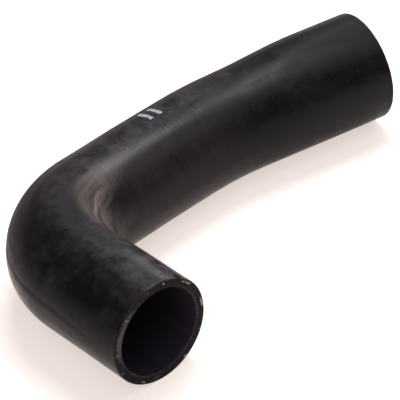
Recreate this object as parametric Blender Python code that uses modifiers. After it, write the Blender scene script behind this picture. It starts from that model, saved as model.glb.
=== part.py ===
"""A moulded rubber coolant hose for a car's cooling system, lying flat as it would on a bench.

One hollow tube: a straight inlet end, a tight elbow, a straight middle, a gentle second bend and a
wider outlet end. Both bends turn the same way, and the underside is level along the whole tube. All
lengths are in metres, +Z is up, the cut mouth of the inlet faces -Y and the long leg runs towards +X.
"""

from math import cos, pi, radians, sin

import bmesh
import bpy
from mathutils import Matrix, Vector

# Bore and wall
INLET_BORE = 0.038
OUTLET_BORE = 0.0405
WALL = 0.0038
RIM_ROUND = 0.0004

# Route of the centreline, from the inlet mouth
INLET_LENGTH = 0.0465
ELBOW_RADIUS = 0.035
ELBOW_ANGLE = radians(88)
MIDDLE_LENGTH = 0.0515
SWEEP_RADIUS = 0.150
SWEEP_ANGLE = radians(12.5)
OUTLET_LENGTH = 0.0615

# Wider end that fits over the outlet stub, and the taper that leads to it
OUTLET_SEAT = 0.026
TAPER_LENGTH = 0.044

# Fineness of the surface
SIDES = 48
BEND_STEP = radians(5)
TAPER_STEPS = 8
RIM_STEPS = 2
SHARP_ANGLE = radians(40)
CLOSEST_RINGS = 0.001
WELD_DISTANCE = 0.00001

# Sizes that follow from those above
INLET_OUTER_RADIUS = INLET_BORE / 2 + WALL
OUTLET_OUTER_RADIUS = OUTLET_BORE / 2 + WALL
STRETCHES = (
    (INLET_LENGTH, 0),
    (ELBOW_RADIUS * ELBOW_ANGLE, 1 / ELBOW_RADIUS),
    (MIDDLE_LENGTH, 0),
    (SWEEP_RADIUS * SWEEP_ANGLE, 1 / SWEEP_RADIUS),
    (OUTLET_LENGTH, 0),
)
HOSE_LENGTH = sum(length for length, curvature in STRETCHES)
SEAT_START = HOSE_LENGTH - OUTLET_SEAT
TAPER_START = SEAT_START - TAPER_LENGTH

RUBBER_COLOUR = (0.018, 0.017, 0.018, 1)
RUBBER_ROUGHNESS = 0.42


def clear_scene():
    for obj in list(bpy.data.objects):
        bpy.data.objects.remove(obj)


def new_collection(name):
    collection = bpy.data.collections.new(name)
    bpy.context.scene.collection.children.link(collection)
    return collection


def centreline(distance):
    """The route's point this far from the mouth. It is as high as the tube's radius there, so that the
    underside is level, and each bend turns right, seen from above.
    """
    height = outer_radius(distance)
    x, y, heading = 0, 0, pi / 2
    for length, curvature in STRETCHES:
        step = min(length, distance)
        if curvature:
            turned = heading - step * curvature
            x += (sin(heading) - sin(turned)) / curvature
            y += (cos(turned) - cos(heading)) / curvature
            heading = turned
        else:
            x += step * cos(heading)
            y += step * sin(heading)
        distance -= step
    return x, y, height


def outer_radius(distance):
    """The tube's outer radius, which eases from the inlet's to the outlet's along the taper."""
    along = min(max((distance - TAPER_START) / TAPER_LENGTH, 0), 1)
    eased = along * along * (3 - 2 * along)
    return INLET_OUTER_RADIUS + (OUTLET_OUTER_RADIUS - INLET_OUTER_RADIUS) * eased


def ring_distances():
    """Where the tube's rings lie: at the ends of each stretch, round the bends and along the taper."""
    marks = [TAPER_START + TAPER_LENGTH * step / TAPER_STEPS for step in range(TAPER_STEPS + 1)]
    start = 0
    for length, curvature in STRETCHES:
        steps = max(round(length * curvature / BEND_STEP), 1)
        marks += [start + length * step / steps for step in range(steps)]
        start += length
    rings = [0]
    for mark in sorted(marks):
        if rings[-1] + CLOSEST_RINGS < mark < HOSE_LENGTH - CLOSEST_RINGS:
            rings.append(mark)
    return rings + [HOSE_LENGTH]


def weld(skin):
    mesh = bmesh.new()
    mesh.from_mesh(skin)
    bmesh.ops.remove_doubles(mesh, verts=mesh.verts, dist=WELD_DISTANCE)
    mesh.to_mesh(skin)
    mesh.free()


def make_outer_skin(name):
    """The tube's outer surface, open at both ends: a curve with a bevel, turned into a mesh."""
    curve = bpy.data.curves.new(name, "CURVE")
    curve.dimensions = "3D"
    curve.twist_mode = "Z_UP"
    curve.bevel_depth = INLET_OUTER_RADIUS
    curve.bevel_resolution = SIDES // 2 - 2
    rings = ring_distances()
    spline = curve.splines.new("POLY")
    spline.points.add(len(rings) - 1)
    for point, distance in zip(spline.points, rings):
        point.co = (*centreline(distance), 1)
        point.radius = outer_radius(distance) / INLET_OUTER_RADIUS
    route = bpy.data.objects.new(f"{name}_route", curve)
    bpy.context.scene.collection.objects.link(route)
    graph = bpy.context.evaluated_depsgraph_get()
    skin = bpy.data.meshes.new_from_object(route.evaluated_get(graph))
    skin.name = name
    bpy.data.objects.remove(route)
    weld(skin)
    return skin


def give_wall(hose):
    """Thickens the skin inwards to the wall, and rounds the knife-cut rims a little."""
    wall = hose.modifiers.new("wall", "SOLIDIFY")
    wall.thickness = WALL
    wall.offset = -1
    wall.use_even_offset = True
    rims = hose.modifiers.new("rims", "BEVEL")
    rims.width = RIM_ROUND
    rims.segments = RIM_STEPS
    rims.limit_method = "ANGLE"
    rims.angle_limit = SHARP_ANGLE


def centre_over_origin(hose):
    """Moves the mesh until the finished tube's box stands on z = 0 with its middle above the origin."""
    finished = hose.evaluated_get(bpy.context.evaluated_depsgraph_get())
    corners = [Vector(corner) for corner in finished.bound_box]
    middle = sum(corners, Vector()) / len(corners)
    lowest = min(corner.z for corner in corners)
    hose.data.transform(Matrix.Translation((-middle.x, -middle.y, -lowest)))


def rubber():
    material = bpy.data.materials.new("hose_rubber")
    material.use_nodes = True
    shader = material.node_tree.nodes["Principled BSDF"]
    shader.inputs["Base Color"].default_value = RUBBER_COLOUR
    shader.inputs["Roughness"].default_value = RUBBER_ROUGHNESS
    shader.inputs["Metallic"].default_value = 0
    return material


def make_hose(collection):
    name = "coolant_hose"
    skin = make_outer_skin(name)
    skin.shade_smooth()
    skin.set_sharp_from_angle(angle=SHARP_ANGLE)
    skin.materials.append(rubber())
    hose = bpy.data.objects.new(name, skin)
    collection.objects.link(hose)
    give_wall(hose)
    centre_over_origin(hose)


clear_scene()
make_hose(new_collection("Coolant hose"))
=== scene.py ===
"""The looks of a moulded rubber coolant hose: its ringed cover, its knife-cut ends and its dark bore.

The hose stands in for the solid of the frame and keeps that solid's route, bores and wall. All lengths
are in metres, +Z is up, the cut mouth of the inlet faces -Y and the long leg runs towards +X. Turns
around the tube count from the top, positive to the left of the way from the inlet to the outlet.
"""

from itertools import product
from math import ceil, cos, pi, radians, sin, tau

import bmesh
import bpy
import numpy as np
from mathutils import Matrix, Quaternion, Vector


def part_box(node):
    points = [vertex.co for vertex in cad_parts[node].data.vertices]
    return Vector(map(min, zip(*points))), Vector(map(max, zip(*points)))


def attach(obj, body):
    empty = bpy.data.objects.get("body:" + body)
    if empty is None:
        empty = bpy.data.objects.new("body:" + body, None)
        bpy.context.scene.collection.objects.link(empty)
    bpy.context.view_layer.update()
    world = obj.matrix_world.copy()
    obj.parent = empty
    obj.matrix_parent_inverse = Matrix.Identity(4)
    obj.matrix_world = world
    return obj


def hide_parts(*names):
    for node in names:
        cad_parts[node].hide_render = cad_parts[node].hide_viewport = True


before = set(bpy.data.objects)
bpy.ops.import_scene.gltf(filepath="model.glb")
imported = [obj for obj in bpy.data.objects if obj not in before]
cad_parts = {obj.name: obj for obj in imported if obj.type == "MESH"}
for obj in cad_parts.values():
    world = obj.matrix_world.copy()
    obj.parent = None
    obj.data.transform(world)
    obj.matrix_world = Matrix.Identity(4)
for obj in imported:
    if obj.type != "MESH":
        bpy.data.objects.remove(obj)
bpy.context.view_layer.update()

NODE = "coolant_hose"
BODY = "root"

# Bore, wall and route of the centreline, as in the solid
INLET_BORE = 0.038
OUTLET_BORE = 0.0405
WALL = 0.0038
INLET_LENGTH = 0.0465
ELBOW_RADIUS = 0.035
ELBOW_ANGLE = radians(88)
MIDDLE_LENGTH = 0.0515
SWEEP_RADIUS = 0.150
SWEEP_ANGLE = radians(12.5)
OUTLET_LENGTH = 0.0615
OUTLET_SEAT = 0.026
TAPER_LENGTH = 0.044

INLET_OUTER_RADIUS = INLET_BORE / 2 + WALL
OUTLET_OUTER_RADIUS = OUTLET_BORE / 2 + WALL
STRETCHES = (
    (INLET_LENGTH, 0),
    (ELBOW_RADIUS * ELBOW_ANGLE, 1 / ELBOW_RADIUS),
    (MIDDLE_LENGTH, 0),
    (SWEEP_RADIUS * SWEEP_ANGLE, 1 / SWEEP_RADIUS),
    (OUTLET_LENGTH, 0),
)
HOSE_LENGTH = sum(length for length, curvature in STRETCHES)
LOWEST_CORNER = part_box(NODE)[0]
TAPER_START = HOSE_LENGTH - OUTLET_SEAT - TAPER_LENGTH

# Fineness of the mesh, which is finer where the moulding line runs, and how round the cut rims are
COARSE_TURN = radians(4.6)
FINE_TURN = radians(1.25)
FINE_FROM = radians(58)
FINE_TO = radians(100)
SKIN_STEP = 0.00035
BORE_STEP = 0.002
RIM_ROUND = 0.0005
RIM_STEPS = 4
FACE_STEPS = 6

# Relief of the cover: rings around it with finer rings between them, strong or faint in patches
RING_PITCH = 0.00235
RING_HEIGHT = 0.000010
RING_WANDER = 0.0016
FINE_RINGS = 2.13
FINE_SHARE = 0.45
PATCH_SIZE = 0.011
PATCH_MEAN = 0.25
PATCH_SWING = 0.50
WANDER_SIZE = PATCH_SIZE * 1.7

# Where the rings stand out more: middle along the hose, half length, turn, half spread and amount
RING_PLACES = (
    (0.092, 0.012, radians(-46), radians(24), 2.2),
    (0.086, 0.020, radians(8), radians(26), 0.5),
    (0.150, 0.060, radians(-16), radians(12), 0.5),
)

# Slow unevenness of the whole wall, and after how many cells its noise and the rings' noise repeat
UNEVEN_SIZE = 0.026
UNEVEN_HEIGHT = 0.00018
NOISE_CELLS = 32

# The moulding line on the outer side of the elbow: how the cover steps in and out across it, and how it
# drifts downwards as it nears the mouth
SEAM_START = 0.010
SEAM_END = 0.070
SEAM_FADE_IN = 0.016
SEAM_FADE_OUT = 0.0015
SEAM_TURN_AT_START = radians(81)
SEAM_TURN_AT_END = radians(69)
SEAM_OFFSETS = tuple(radians(angle) for angle in (-1.2, 1.0, 4.5, 7.0, 11, 12.8, 30, 55))
SEAM_HEIGHTS = (0, -0.00008, -0.00008, 0.00014, 0.00018, 0.00010, 0.00009, 0)

# Cut yarn in the two ends of the wall: turn from the top and length along the wall, in degrees
INLET_YARN = (
    (-150, 5),
    (-118, 1.5),
    (-84, 14),
    (-45, 15),
    (-11, 2),
    (46, 2),
    (87, 1.5),
    (113, 2),
    (150, 5),
)
OUTLET_YARN = (
    (-171, 3),
    (-131, 12),
    (-96, 2),
    (-60, 3),
    (-22, 9),
    (8, 2),
    (39, 3),
    (75, 11),
    (112, 2),
    (150, 4),
)

# Shape of a piece of yarn: how much of its section is left at the tips, then its lumps and its drift in
# the wall, which are shares of its radius, with their waves in radians a step
YARN_DEPTH = 0.0013
YARN_RADIUS = 0.00042
YARN_FLATNESS = 0.7
THREAD_SIDES = 8
THREAD_STEPS = 14
TIP_SHARE = 0.02
LUMP_SHARE = 0.25
LUMP_WAVE = 2.6
SMALLEST_LUMP = 0.4
DRIFT_SHARE = 0.25
DRIFT_WAVE = 0.9

# Loose filaments of a cut yarn. Each one starts within the scatter, a share of the yarn's length either
# way, and leans towards a point up to so far off in turn and depth, and that far out of the cut
TIP_STRANDS = 3
STRAND_SIDES = 6
STRAND_RADIUS = 0.00006
STRAND_TAPER = 3
STRAND_LENGTH = 0.0007
SHORTEST_STRAND = 0.6
STRAND_SCATTER = 0.4
STRAND_TURN = 0.04
STRAND_DEPTH = 0.0007
STRAND_REACH = 0.0006

# The ink mark that shows how the hose is turned when it is fitted: two worn bars across the top
MARK_PLACE = 0.1405
MARK_PITCH = 0.0050
MARK_HALF_BAR = 0.0010
MARK_TURN = radians(13)
MARK_HALF_TURN = radians(11)
MARK_EDGE = 0.00015
MARK_WEAR_SIZE = 0.0012
INK = (0.38, 0.41, 0.46, 1)

# The cover: its colours, the sizes of what mottles it and how that is stretched, the height of its
# relief and how much of that the ring marks add to the grain, how rough full dust with its painted
# reflection is, and its gloss
COVER_BLACK = (0.0066, 0.0054, 0.0064, 1)
COVER_HAZE = (0.0235, 0.0205, 0.0258, 1)
# Pale grey of the bloom, which also paints sheen
COVER_BLOOM_AND_SHEEN = (0.125, 0.118, 0.128, 1)
# Brown of the dust, which also paints highlight strokes and the floor's warm reflection
COVER_DUST_AND_REFLECTION = (0.202, 0.170, 0.142, 1)
CLOUD_SIZE = 0.020
BLOTCH_SIZE = 0.0050
FLECK_SIZE = 0.0020
GRAIN_SIZE = 0.0005
RING_MARK_SIZE = 0.0011
STREAK_SIZE = 0.0024
FLECK_SCALE = (1, 0.5, 0.5)
RING_MARK_SCALE = (1, 0.08, 0.08)
STREAK_SCALE = (0.10, 1, 1)
COVER_RELIEF = 0.000006
RING_MARK_RELIEF = 1.5
DUST_AND_REFLECTION_ROUGHNESS = 0.3
GLOSS_LEVEL = 0.145

# The haze thins out over the first half of the elbow. At the elbow's end the dust, with its painted
# reflection, turns from streaks along the hose to fainter lines around it
HAZE_FROM = 0.046
HAZE_TO = 0.075
FAR_HAZE = 0.30
DUST_AND_REFLECTION_LINES_FROM = 0.088
DUST_AND_REFLECTION_LINES_TO = 0.102
DUST_AND_REFLECTION_LINE_CONTRAST = 0.45

# Patches of the cover: middle along the hose, half length, turn there, half spread, how that turn
# changes along the hose in radians a metre, and amount. First brown dust, most of all in the crook of
# the elbow, which also paints light: thin strokes of painted highlight along the crease of the crook and
# painted warm reflection of the floor low on the sides. Then pale bloom, which also paints sheen on the
# upper sides of the legs. Then how much rougher the rubber is or, below zero, how much smoother
DUST_AND_REFLECTION_PLACES = (
    (0.074, 0.046, radians(-44), radians(30), 10, 0.80),
    # These two thin strokes paint the highlight along the crease of the crook
    (0.078, 0.024, radians(-40), radians(3.2), 6, 1.20),
    (0.066, 0.018, radians(-50), radians(3.0), 6, 1.05),
    (0.094, 0.016, radians(-86), radians(14), 8, 0.30),
    (0.092, 0.014, radians(-62), radians(16), 0, 0.16),
    (0.120, 0.062, radians(-60), radians(48), 0, 0.09),
    # These two, low on the sides, are partly painted warm reflection of the floor
    (0.125, 0.085, radians(-120), radians(34), 0, 0.17),
    (0.034, 0.055, radians(106), radians(42), 0, 0.10),
    (0.086, 0.026, radians(25), radians(36), 0, 0.09),
)
# Bloom, partly painted sheen on the upper sides of the short leg and the top of the long leg
BLOOM_AND_SHEEN_PLACES = (
    (0.004, 0.036, radians(-30), radians(30), 0, 0.60),
    (0.010, 0.040, radians(-4), radians(19), 0, 0.24),
    (0.040, 0.040, radians(-36), radians(24), 0, 0.30),
    (0.038, 0.014, radians(50), radians(16), 0, 0.05),
    (0.130, 0.078, radians(8), radians(23), 0, 0.30),
)
DULL_PLACES = (
    (0.056, 0.042, radians(-24), radians(30), 0, 0.32),
    (0.080, 0.036, radians(54), radians(40), 0, 0.20),
    (0.170, 0.120, radians(42), radians(32), 0, 0.24),
    (0.243, 0.070, radians(-24), radians(24), 0, 0.16),
    (0.250, 0.050, radians(-4), radians(32), 0, 0.20),
    (0.190, 0.130, radians(-96), radians(40), -2.6, 0.22),
    (0.018, 0.050, radians(76), radians(30), 0, 0.22),
    (0.112, 0.050, radians(-20), radians(18), 0, -0.06),
    (0.190, 0.045, radians(-22), radians(22), 0, 0.07),
    (0.130, 0.090, radians(8), radians(22), 0, 0.10),
)

# The cut wall: its thin outer layer, the rubber further in, and the smears and specks on that
CUT_LAYER = (0.020, 0.0055, 0.0048, 1)
CUT_BLACK = (0.0080, 0.0064, 0.0068, 1)
CUT_SMEARED = (0.130, 0.118, 0.118, 1)
CUT_SPECKED = (0.19, 0.16, 0.15, 1)
CUT_LAYER_FROM = 0.0004
CUT_LAYER_TO = 0.0011
CUT_BLOTCH_SIZE = 0.0024
CUT_SPECK_SIZE = 0.0008
CUT_RELIEF = 0.00015
CUT_GLOSS_LEVEL = 0.08

# The palest smear on the cut wall: depth and its half width, turn and half spread, no lean, amount
SMEAR = (0.0024, 0.0020, radians(66), radians(42), 0, 0.8)

# The yarn, clean and dirtied
YARN_PALE = (0.42, 0.36, 0.34, 1)
YARN_DIRTY = (0.050, 0.040, 0.038, 1)
YARN_DIRT_SIZE = 0.0011
YARN_FIBRE_SIZE = 0.0002
YARN_RELIEF = 0.00003
YARN_ROUGHNESS = 0.8

# The bore, between its streaks and on them
BORE_BLACK = (0.014, 0.010, 0.017, 1)
BORE_STREAKED = (0.025, 0.019, 0.030, 1)
BORE_STREAK_SIZE = 0.0018
BORE_STREAK_SCALE = (0.06, 1, 1)
BORE_RELIEF = 0.00004

# The photograph's view: aim, direction, roll and distance, the lens on a 36 mm wide sensor, and how far
# the camera sees
CAMERA_AIM = Vector((-0.00992, 0.00257, 0.01848))
CAMERA_HEADING = radians(38.43)
CAMERA_DROP = radians(36.70)
CAMERA_ROLL = radians(5.81)
CAMERA_DISTANCE = 1.0285
CAMERA_LENS = 225
CAMERA_SENSOR = 36
CAMERA_SIGHT = 50

# The floor, and its glow near the hose and far from it
FLOOR_SIZE = 12
FLOOR_COLOUR = (0.62, 0.60, 0.585, 1)
FLOOR_ROUGHNESS = 0.9
FLOOR_LIGHT = (1.08, 0.955, 0.885, 1)
GLOW = 0.62
GLOW_FROM = 0.12
GLOW_TO = 0.90
FAR_GLOW = 0.32

WORLD_COLOUR = (0.96, 0.93, 1.0, 1)
WORLD_STRENGTH = 0.11
LIGHT_COLOUR = (1.0, 0.955, 0.995)

# Soft lights: name, compass bearing from +Y towards +X, height above the floor as an angle, distance,
# width, height and power in watts
LIGHTS = (
    ("key", radians(55), radians(70), 0.58, 0.32, 0.22, 3.1),
    ("side", radians(57), radians(27), 1.6, 0.58, 0.86, 4.3),
    ("fill", radians(122), radians(50), 1.2, 0.60, 0.50, 1.4),
    ("back", radians(222), radians(54), 2.2, 1.80, 1.80, 13.0),
)


def outer_radius(distance):
    """The cover's radius, which eases from the inlet's to the outlet's along the taper."""
    along = np.clip((distance - TAPER_START) / TAPER_LENGTH, 0, 1)
    eased = along * along * (3 - 2 * along)
    return INLET_OUTER_RADIUS + (OUTLET_OUTER_RADIUS - INLET_OUTER_RADIUS) * eased


def centreline(distance):
    """The centreline's point this far from the mouth, and the heading there."""
    height = outer_radius(distance)
    x = LOWEST_CORNER[0] + INLET_OUTER_RADIUS
    y = LOWEST_CORNER[1]
    heading = pi / 2
    for length, curvature in STRETCHES:
        step = min(length, distance)
        if curvature:
            turned = heading - step * curvature
            x += (sin(heading) - sin(turned)) / curvature
            y += (cos(turned) - cos(heading)) / curvature
            heading = turned
        else:
            x += step * cos(heading)
            y += step * sin(heading)
        distance -= step
    return Vector((x, y, height)), heading


def spaced(start, end, step):
    """Evenly spaced numbers from start to end, no further apart than the step."""
    return list(np.linspace(start, end, ceil(abs(end - start) / step) + 1))


def stations():
    """The wall's section as a closed loop of (distance from the mouth, depth under the cover)."""
    first = RIM_ROUND
    last = HOSE_LENGTH - RIM_ROUND
    deepest = WALL - RIM_ROUND
    face_step = WALL / FACE_STEPS
    quarter = [pi / 2 * step / RIM_STEPS for step in range(1, RIM_STEPS)]
    loop = [(distance, 0) for distance in spaced(first, last, SKIN_STEP)]
    loop += [(last + RIM_ROUND * sin(turn), RIM_ROUND * (1 - cos(turn))) for turn in quarter]
    loop += [(HOSE_LENGTH, depth) for depth in spaced(RIM_ROUND, deepest, face_step)]
    loop += [(last + RIM_ROUND * cos(turn), deepest + RIM_ROUND * sin(turn)) for turn in quarter]
    loop += [(distance, WALL) for distance in spaced(last, first, BORE_STEP)]
    loop += [(first - RIM_ROUND * sin(turn), WALL - RIM_ROUND * (1 - cos(turn))) for turn in quarter]
    loop += [(0, depth) for depth in spaced(deepest, RIM_ROUND, face_step)]
    loop += [(first - RIM_ROUND * cos(turn), RIM_ROUND - RIM_ROUND * sin(turn)) for turn in quarter]
    return loop


def lattice_noise(points, cell, seed):
    """Smooth noise from -1 to 1 at each point: random values on a lattice, eased between."""
    lattice = np.random.default_rng(seed).uniform(-1, 1, (NOISE_CELLS,) * 3)
    scaled = points / cell
    base = np.floor(scaled).astype(int)
    part = scaled - base
    eased = part * part * (3 - 2 * part)
    total = np.zeros(len(points))
    for corner in product((0, 1), repeat=3):
        index = (base + corner) % NOISE_CELLS
        weight = np.prod(np.where(corner, eased, 1 - eased), axis=1)
        total += lattice[index[:, 0], index[:, 1], index[:, 2]] * weight
    return total


def rings(straight, turn):
    """The ring pattern of the cover: faint or gone in most patches, clear in the crook of the elbow."""
    wander = RING_WANDER * lattice_noise(straight, WANDER_SIZE, seed=3)
    phase = tau * (straight[:, 0] + wander) / RING_PITCH
    patchy = lattice_noise(straight, PATCH_SIZE, seed=4)
    strength = np.clip(PATCH_MEAN + PATCH_SWING * patchy, 0, 1)
    for middle, length, middle_turn, spread, amount in RING_PLACES:
        away = ((straight[:, 0] - middle) / length) ** 2 + ((turn - middle_turn) / spread) ** 2
        strength = strength + amount * np.exp(-away)
    return strength * (np.sin(phase) + FINE_SHARE * np.sin(FINE_RINGS * phase))


def seam(distance, turn):
    """How far the cover stands out along the moulding line."""
    fade_in = np.clip((distance - SEAM_START) / SEAM_FADE_IN, 0, 1)
    fade_out = np.clip((SEAM_END - distance) / SEAM_FADE_OUT, 0, 1)
    line = np.interp(distance, (SEAM_START, SEAM_END), (SEAM_TURN_AT_START, SEAM_TURN_AT_END))
    return fade_in * fade_out * np.interp(turn - line, SEAM_OFFSETS, SEAM_HEIGHTS, left=0, right=0)


def turns_around():
    """The turns at which the skin has its vertices, closer together where the moulding line runs."""
    fine = spaced(FINE_FROM, FINE_TO, FINE_TURN)
    coarse = spaced(FINE_TO, FINE_FROM + tau, COARSE_TURN)
    return np.array(fine[:-1] + coarse[:-1])


TURNS = turns_around()
SIDES = len(TURNS)


def wall_points():
    """Every vertex of the wall: its place, its place on the hose pulled straight, and its depth."""
    loop = stations()
    distance = np.repeat([d for d, depth in loop], SIDES)
    depth = np.repeat([depth for d, depth in loop], SIDES)
    turn = np.tile(TURNS, len(loop))
    radius = outer_radius(distance)
    straight = np.stack([distance, radius * np.cos(turn), radius * np.sin(turn)], axis=1)
    on_cover = 1 - np.clip(depth / RIM_ROUND, 0, 1)
    signed = np.mod(turn + pi, tau) - pi
    relief = RING_HEIGHT * rings(straight, signed) + seam(distance, signed)
    slow = UNEVEN_HEIGHT * lattice_noise(straight, UNEVEN_SIZE, seed=5)
    reach = radius - depth + on_cover * relief + slow
    route = [centreline(float(d)) for d, depth in loop]
    middle = np.repeat([tuple(point) for point, heading in route], SIDES, axis=0)
    heading = np.repeat([heading for point, heading in route], SIDES)
    left = reach * np.sin(turn)
    up = reach * np.cos(turn)
    place = middle + np.stack([-np.sin(heading) * left, np.cos(heading) * left, up], axis=1)
    place[:, 2] = np.maximum(place[:, 2], 0)
    return place, straight, depth


def grid_faces(count):
    """Quads between neighbouring rings, the last ring joined to the first."""
    faces = []
    for ring in range(count):
        here = ring * SIDES
        there = (ring + 1) % count * SIDES
        for side in range(SIDES):
            beside = (side + 1) % SIDES
            faces.append((here + side, there + side, there + beside, here + beside))
    return faces


def add_piece(name, mesh):
    """Links a mesh to the scene as a piece that stands for the hose's solid."""
    piece = bpy.data.objects.new(name, mesh)
    bpy.context.scene.collection.objects.link(piece)
    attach(piece, BODY)
    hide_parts(NODE)
    return piece


def material_at(depth):
    """The number of the material at this depth: the cover's, the cut wall's or the bore's."""
    if depth < RIM_ROUND:
        return 0
    if depth > WALL - RIM_ROUND / 2:
        return 2
    return 1


def make_wall():
    """The whole tube as one skin: the cover, both cut ends and the bore."""
    place, straight, depth = wall_points()
    count = len(place) // SIDES
    mesh = bpy.data.meshes.new("hose_wall")
    mesh.from_pydata(place.tolist(), [], grid_faces(count))
    mesh.attributes.new("straight", "FLOAT_VECTOR", "POINT").data.foreach_set("vector", straight.ravel())
    mesh.attributes.new("depth", "FLOAT", "POINT").data.foreach_set("value", depth)
    mesh.shade_smooth()
    for material in (cover_rubber(), cut_rubber(), bore_rubber()):
        mesh.materials.append(material)
    depths = depth[::SIDES]
    for face in mesh.polygons:
        ring = face.index // SIDES
        face.material_index = material_at((depths[ring] + depths[(ring + 1) % count]) / 2)
    return add_piece("hose_wall", mesh)


def strand(mesh, root, lean, rng):
    """One loose filament of a cut yarn: a thin cone that leans out of the end."""
    length = STRAND_LENGTH * rng.uniform(SHORTEST_STRAND, 1)
    turned = lean.to_track_quat("Z", "Y").to_matrix().to_4x4()
    bmesh.ops.create_cone(
        mesh,
        cap_ends=True,
        segments=STRAND_SIDES,
        radius1=STRAND_RADIUS,
        radius2=STRAND_RADIUS / STRAND_TAPER,
        depth=length,
        matrix=Matrix.Translation(root + lean * length / 2) @ turned,
    )


def thread(mesh, place, turn, length, rng):
    """A piece of yarn half sunk in the cut wall: a rough tube along the wall that tapers to its ends."""
    loops = []
    phase = rng.uniform(0, tau)
    for step in range(THREAD_STEPS + 1):
        share = 2 * step / THREAD_STEPS - 1
        taper = max(1 - share * share, TIP_SHARE) ** 0.5
        lump = LUMP_SHARE * sin(phase + LUMP_WAVE * step) * rng.uniform(SMALLEST_LUMP, 1)
        thick = YARN_RADIUS * taper * (1 + lump)
        shift = DRIFT_SHARE * YARN_RADIUS * sin(phase + DRIFT_WAVE * step)
        loop = []
        for side in range(THREAD_SIDES):
            around = tau * side / THREAD_SIDES
            inwards = shift + thick * cos(around)
            outwards = YARN_FLATNESS * thick * sin(around)
            point = place(turn + share * length / 2, YARN_DEPTH + inwards, outwards)
            loop.append(mesh.verts.new(point))
        loops.append(loop)
    for here, there in zip(loops, loops[1:]):
        for side in range(THREAD_SIDES):
            beside = (side + 1) % THREAD_SIDES
            mesh.faces.new((here[side], there[side], there[beside], here[beside]))
    mesh.faces.new(loops[0])
    mesh.faces.new(loops[-1][::-1])


def make_yarn(name, distance, pieces, seed):
    """The cut ends of the reinforcing yarn in one end of the hose, with a few loose filaments each."""
    rng = np.random.default_rng(seed)
    middle, heading = centreline(distance)
    outward = Vector((cos(heading), sin(heading), 0)) * (1 if distance else -1)
    left = Vector((-sin(heading), cos(heading), 0))
    up = Vector((0, 0, 1))

    def place(turn, depth, out):
        away = up * cos(turn) + left * sin(turn)
        return middle + away * (outer_radius(distance) - depth) + outward * out

    mesh = bmesh.new()
    for angle, degrees_long in pieces:
        turn = radians(angle)
        length = radians(degrees_long)
        thread(mesh, place, turn, length, rng)
        for _ in range(TIP_STRANDS):
            at = turn + length * rng.uniform(-STRAND_SCATTER, STRAND_SCATTER)
            tip_turn = at + rng.uniform(-STRAND_TURN, STRAND_TURN)
            tip = place(tip_turn, YARN_DEPTH + STRAND_DEPTH * rng.uniform(-1, 1), STRAND_REACH)
            root = place(at, YARN_DEPTH, 0)
            strand(mesh, root, (tip - root).normalized(), rng)
    bmesh.ops.recalc_face_normals(mesh, faces=mesh.faces)
    yarn = bpy.data.meshes.new(name)
    mesh.to_mesh(yarn)
    mesh.free()
    yarn.shade_smooth()
    yarn.materials.append(pale_yarn())
    return add_piece(name, yarn)


class Nodes:
    """A short way to write a material's nodes: each call adds a node, feeds it and returns its output."""

    def __init__(self, name):
        self.material = bpy.data.materials.new(name)
        self.material.use_nodes = True
        self.tree = self.material.node_tree
        self.shader = self.tree.nodes["Principled BSDF"]

    def feed(self, socket, value):
        """Links the value to the socket if it is another node's output, and sets it there if not."""
        if isinstance(value, bpy.types.NodeSocket):
            self.tree.links.new(value, socket)
        else:
            socket.default_value = value

    def add(self, kind, output=0, **inputs):
        made = self.tree.nodes.new(kind)
        for name, value in inputs.items():
            self.feed(made.inputs[name.replace("_", " ")], value)
        return made.outputs[output]

    def maths(self, operation, *values):
        made = self.tree.nodes.new("ShaderNodeMath")
        made.operation = operation
        for socket, value in zip(made.inputs, values):
            self.feed(socket, value)
        return made.outputs[0]

    def vector_maths(self, operation, output, *values):
        made = self.tree.nodes.new("ShaderNodeVectorMath")
        made.operation = operation
        for socket, value in zip(made.inputs, values):
            self.feed(socket, value)
        return made.outputs[output]

    def total(self, *values):
        """The sum of all the values."""
        summed = values[0]
        for value in values[1:]:
            summed = self.maths("ADD", summed, value)
        return summed

    def times(self, *values):
        """The product of all the values."""
        scaled = values[0]
        for value in values[1:]:
            scaled = self.maths("MULTIPLY", scaled, value)
        return scaled

    def attribute(self, name, output):
        made = self.tree.nodes.new("ShaderNodeAttribute")
        made.attribute_name = name
        return made.outputs[output]

    def noise(self, vector, size, detail=3.0, roughness=0.55):
        """Noise from 0 to 1 whose blotches are about this long."""
        return self.add(
            "ShaderNodeTexNoise",
            Vector=vector,
            Scale=1 / size,
            Detail=detail,
            Roughness=roughness,
        )

    def ramp(self, value, low, high, start=0.0, end=1.0):
        """Eases from start to end while the value goes from low to high."""
        made = self.tree.nodes.new("ShaderNodeMapRange")
        made.interpolation_type = "SMOOTHSTEP"
        names = ("Value", "From Min", "From Max", "To Min", "To Max")
        for name, fed in zip(names, (value, low, high, start, end)):
            self.feed(made.inputs[name], fed)
        return made.outputs[0]

    def blend(self, share, first, second):
        """A mix of two colours, whose sockets go by number because their names repeat."""
        made = self.tree.nodes.new("ShaderNodeMix")
        made.data_type = "RGBA"
        self.feed(made.inputs[0], share)
        self.feed(made.inputs[6], first)
        self.feed(made.inputs[7], second)
        return made.outputs[2]

    def along_and_turn(self, straight):
        """The distance from the mouth and the turn from the top, positive to the left."""
        parts = self.tree.nodes.new("ShaderNodeSeparateXYZ")
        self.feed(parts.inputs[0], straight)
        along, up, left = parts.outputs
        return along, self.maths("ARCTAN2", left, up)

    def stretched(self, vector, scale):
        return self.add("ShaderNodeMapping", Vector=vector, Scale=scale)

    def bump(self, height, distance):
        return self.add("ShaderNodeBump", Height=height, Distance=distance, Strength=1.0)

    def finish(self, **inputs):
        """Feeds the material's shader and returns the material."""
        for name, value in inputs.items():
            self.feed(self.shader.inputs[name.replace("_", " ")], value)
        return self.material


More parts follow.
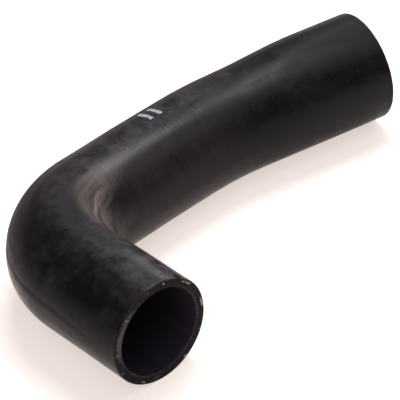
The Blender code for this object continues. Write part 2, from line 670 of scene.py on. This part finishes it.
def ink_mark(nodes, along, turn, straight):
    """How much ink there is, from 0 to 1, worn away in specks."""
    from_middle = nodes.maths("ABSOLUTE", nodes.maths("SUBTRACT", along, MARK_PLACE))
    from_bar = nodes.maths("ABSOLUTE", nodes.maths("SUBTRACT", from_middle, MARK_PITCH / 2))
    bar = nodes.ramp(from_bar, MARK_HALF_BAR - MARK_EDGE, MARK_HALF_BAR + MARK_EDGE, 1, 0)
    from_turn = nodes.maths("ABSOLUTE", nodes.maths("SUBTRACT", turn, MARK_TURN))
    edge = MARK_EDGE / INLET_OUTER_RADIUS
    length = nodes.ramp(from_turn, MARK_HALF_TURN - edge, MARK_HALF_TURN + edge, 1, 0)
    worn = nodes.noise(straight, MARK_WEAR_SIZE, detail=4.0, roughness=0.7)
    return nodes.times(bar, length, nodes.ramp(worn, low=0.34, high=0.54))


def patch(nodes, along, turn, middle, half_length, middle_turn, half_spread, lean, amount):
    """A patch that fades away from its middle."""
    past = nodes.maths("SUBTRACT", along, middle)
    far_along = nodes.maths("DIVIDE", past, half_length)
    ridge = nodes.maths("MULTIPLY_ADD", past, lean, middle_turn)
    far_around = nodes.maths("DIVIDE", nodes.maths("SUBTRACT", turn, ridge), half_spread)
    squares = [nodes.maths("MULTIPLY", far, far) for far in (far_along, far_around)]
    return nodes.ramp(nodes.maths("ADD", *squares), 0.0, 1.0, amount, 0.0)


def patches(nodes, along, turn, places, how="MAXIMUM"):
    """All the patches of one kind laid over one another."""
    total = 0.0
    for place in places:
        total = nodes.maths(how, total, patch(nodes, along, turn, *place))
    return total


def cover_rubber():
    """Satin black rubber with clouds of haze, pale bloomed patches that also paint sheen, brown dusty
    patches that also paint highlight and reflection, and the ink mark.
    """
    nodes = Nodes("cover_rubber")
    straight = nodes.attribute("straight", "Vector")
    along, turn = nodes.along_and_turn(straight)
    clouds = nodes.noise(straight, CLOUD_SIZE, detail=4.0, roughness=0.6)
    blotches = nodes.noise(straight, BLOTCH_SIZE, detail=4.0, roughness=0.65)
    flecks = nodes.noise(nodes.stretched(straight, FLECK_SCALE), FLECK_SIZE, detail=3.0, roughness=0.6)
    grain = nodes.noise(straight, GRAIN_SIZE, detail=3.0, roughness=0.6)
    ringed = nodes.stretched(straight, RING_MARK_SCALE)
    around = nodes.noise(ringed, RING_MARK_SIZE, detail=2.0, roughness=0.5)
    streaked = nodes.stretched(straight, STREAK_SCALE)
    lengthwise = nodes.noise(streaked, STREAK_SIZE, detail=3.0, roughness=0.6)

    haze = nodes.times(
        nodes.ramp(clouds, low=0.38, high=0.66),
        nodes.ramp(blotches, low=0.30, high=0.70),
        nodes.ramp(along, HAZE_FROM, HAZE_TO, start=1.0, end=FAR_HAZE),
    )
    colour = nodes.blend(haze, COVER_BLACK, COVER_HAZE)
    # Pale bloom, partly painted sheen on the upper sides of the legs
    bloom_and_sheen = nodes.times(
        patches(nodes, along, turn, BLOOM_AND_SHEEN_PLACES),
        nodes.ramp(blotches, low=0.30, high=0.70, start=0.15, end=1.0),
        nodes.ramp(flecks, low=0.30, high=0.70, start=0.45, end=1.25),
    )
    colour = nodes.blend(bloom_and_sheen, colour, COVER_BLOOM_AND_SHEEN)
    # Brown dust, partly painted: highlight strokes along the crease of the crook and the floor's warm
    # reflection low on the sides
    past_elbow = nodes.ramp(along, DUST_AND_REFLECTION_LINES_FROM, DUST_AND_REFLECTION_LINES_TO)
    faint = nodes.maths("MULTIPLY_ADD", around, DUST_AND_REFLECTION_LINE_CONTRAST, (1 - DUST_AND_REFLECTION_LINE_CONTRAST) / 2)
    change = nodes.maths("SUBTRACT", faint, lengthwise)
    lines = nodes.maths("MULTIPLY_ADD", change, past_elbow, lengthwise)
    dust_and_reflection = nodes.times(
        patches(nodes, along, turn, DUST_AND_REFLECTION_PLACES),
        nodes.ramp(lines, low=0.28, high=0.72, start=0.22, end=0.78),
    )
    colour = nodes.blend(dust_and_reflection, colour, COVER_DUST_AND_REFLECTION)
    colour = nodes.blend(ink_mark(nodes, along, turn, straight), colour, INK)

    rough = nodes.total(
        nodes.ramp(clouds, low=0.3, high=0.7, start=0.24, end=0.31),
        nodes.ramp(blotches, low=0.25, high=0.75, start=0.0, end=0.08),
        nodes.times(dust_and_reflection, DUST_AND_REFLECTION_ROUGHNESS),
        nodes.ramp(around, low=0.35, high=0.65, start=-0.02, end=0.02),
        nodes.ramp(flecks, low=0.30, high=0.70, start=-0.02, end=0.02),
        nodes.ramp(lengthwise, low=0.30, high=0.70, start=-0.035, end=0.035),
        patches(nodes, along, turn, DULL_PLACES, "ADD"),
    )
    normal = nodes.bump(nodes.total(grain, nodes.times(around, RING_MARK_RELIEF)), COVER_RELIEF)
    nodes.shader.inputs["Specular IOR Level"].default_value = GLOSS_LEVEL
    return nodes.finish(Base_Color=colour, Roughness=rough, Normal=normal, Metallic=0.0)


def cut_rubber():
    """The knife-cut end: dark red-brown along its outer edge, and smeared and mottled further in."""
    nodes = Nodes("cut_rubber")
    straight = nodes.attribute("straight", "Vector")
    depth = nodes.attribute("depth", "Fac")
    _, turn = nodes.along_and_turn(straight)
    inwards = nodes.add("ShaderNodeCombineXYZ", X=depth)
    face = nodes.vector_maths("ADD", 0, straight, inwards)
    blotches = nodes.noise(face, CUT_BLOTCH_SIZE, detail=4.0, roughness=0.7)
    specks = nodes.noise(face, CUT_SPECK_SIZE, detail=4.0, roughness=0.75)
    smear = patch(nodes, depth, turn, *SMEAR)
    smears = nodes.times(
        nodes.total(nodes.ramp(blotches, low=0.50, high=0.72, end=0.7), smear),
        nodes.ramp(specks, low=0.36, high=0.62, start=0.15, end=1.0),
    )
    inner = nodes.blend(smears, CUT_BLACK, CUT_SMEARED)
    inner = nodes.blend(nodes.ramp(specks, low=0.62, high=0.74), inner, CUT_SPECKED)
    colour = nodes.blend(nodes.ramp(depth, CUT_LAYER_FROM, CUT_LAYER_TO), CUT_LAYER, inner)
    rough = nodes.ramp(blotches, low=0.2, high=0.8, start=0.55, end=0.80)
    normal = nodes.bump(blotches, CUT_RELIEF)
    nodes.shader.inputs["Specular IOR Level"].default_value = CUT_GLOSS_LEVEL
    return nodes.finish(Base_Color=colour, Roughness=rough, Normal=normal, Metallic=0.0)


def pale_yarn():
    """Undyed yarn, dirtied by the knife and the rubber."""
    nodes = Nodes("pale_yarn")
    place = nodes.add("ShaderNodeTexCoord", "Object")
    dirt = nodes.ramp(nodes.noise(place, YARN_DIRT_SIZE, detail=4.0, roughness=0.7), low=0.42, high=0.62)
    colour = nodes.blend(dirt, YARN_PALE, YARN_DIRTY)
    normal = nodes.bump(nodes.noise(place, YARN_FIBRE_SIZE), YARN_RELIEF)
    return nodes.finish(Base_Color=colour, Roughness=YARN_ROUGHNESS, Normal=normal, Metallic=0.0)


def bore_rubber():
    """The smooth black inside, with faint streaks along it from the mandrel."""
    nodes = Nodes("bore_rubber")
    straight = nodes.attribute("straight", "Vector")
    streaks = nodes.noise(nodes.stretched(straight, BORE_STREAK_SCALE), BORE_STREAK_SIZE)
    colour = nodes.blend(streaks, BORE_BLACK, BORE_STREAKED)
    rough = nodes.ramp(streaks, low=0.2, high=0.8, start=0.50, end=0.62)
    normal = nodes.bump(streaks, BORE_RELIEF)
    return nodes.finish(Base_Color=colour, Roughness=rough, Normal=normal, Metallic=0.0)


def make_camera():
    gaze = Vector(
        (
            sin(CAMERA_HEADING) * cos(CAMERA_DROP),
            cos(CAMERA_HEADING) * cos(CAMERA_DROP),
            -sin(CAMERA_DROP),
        )
    )
    lens = bpy.data.cameras.new("camera")
    lens.sensor_width = CAMERA_SENSOR
    lens.lens = CAMERA_LENS
    lens.clip_end = CAMERA_SIGHT
    camera = bpy.data.objects.new("camera", lens)
    bpy.context.scene.collection.objects.link(camera)
    camera.location = CAMERA_AIM - gaze * CAMERA_DISTANCE
    camera.rotation_mode = "QUATERNION"
    camera.rotation_quaternion = gaze.to_track_quat("-Z", "Y") @ Quaternion((0, 0, 1), -CAMERA_ROLL)
    bpy.context.scene.camera = camera


def make_floor():
    """A pale floor that glows like lit paper, most of all under the hose, so that shadows stay faint."""
    bpy.ops.mesh.primitive_plane_add(size=FLOOR_SIZE)
    floor = bpy.context.object
    floor.name = "floor"
    nodes = Nodes("floor")
    away = nodes.vector_maths("LENGTH", "Value", nodes.add("ShaderNodeTexCoord", "Object"))
    glow = nodes.ramp(away, GLOW_FROM, GLOW_TO, GLOW, FAR_GLOW)
    floor.data.materials.append(
        nodes.finish(
            Base_Color=FLOOR_COLOUR,
            Roughness=FLOOR_ROUGHNESS,
            Emission_Color=FLOOR_LIGHT,
            Emission_Strength=glow,
        )
    )


def make_world():
    world = bpy.data.worlds.new("studio")
    world.use_nodes = True
    backdrop = world.node_tree.nodes["Background"]
    backdrop.inputs["Color"].default_value = WORLD_COLOUR
    backdrop.inputs["Strength"].default_value = WORLD_STRENGTH
    bpy.context.scene.world = world


def make_lights():
    """The soft lights, each of which faces the middle of the floor and is hidden from direct view."""
    for name, bearing, rise, distance, width, height, power in LIGHTS:
        data = bpy.data.lights.new(name, "AREA")
        data.shape = "RECTANGLE"
        data.size = width
        data.size_y = height
        data.energy = power
        data.color = LIGHT_COLOUR
        light = bpy.data.objects.new(name, data)
        bpy.context.scene.collection.objects.link(light)
        away = Vector((sin(bearing) * cos(rise), cos(bearing) * cos(rise), sin(rise)))
        light.location = away * distance
        light.rotation_mode = "QUATERNION"
        light.rotation_quaternion = away.to_track_quat("Z", "Y")
        light.visible_camera = False


make_wall()
make_yarn("inlet_yarn", 0, INLET_YARN, seed=11)
make_yarn("outlet_yarn", HOSE_LENGTH, OUTLET_YARN, seed=12)
make_camera()
make_floor()
make_world()
make_lights()
bpy.context.scene.view_settings.view_transform = "Standard"
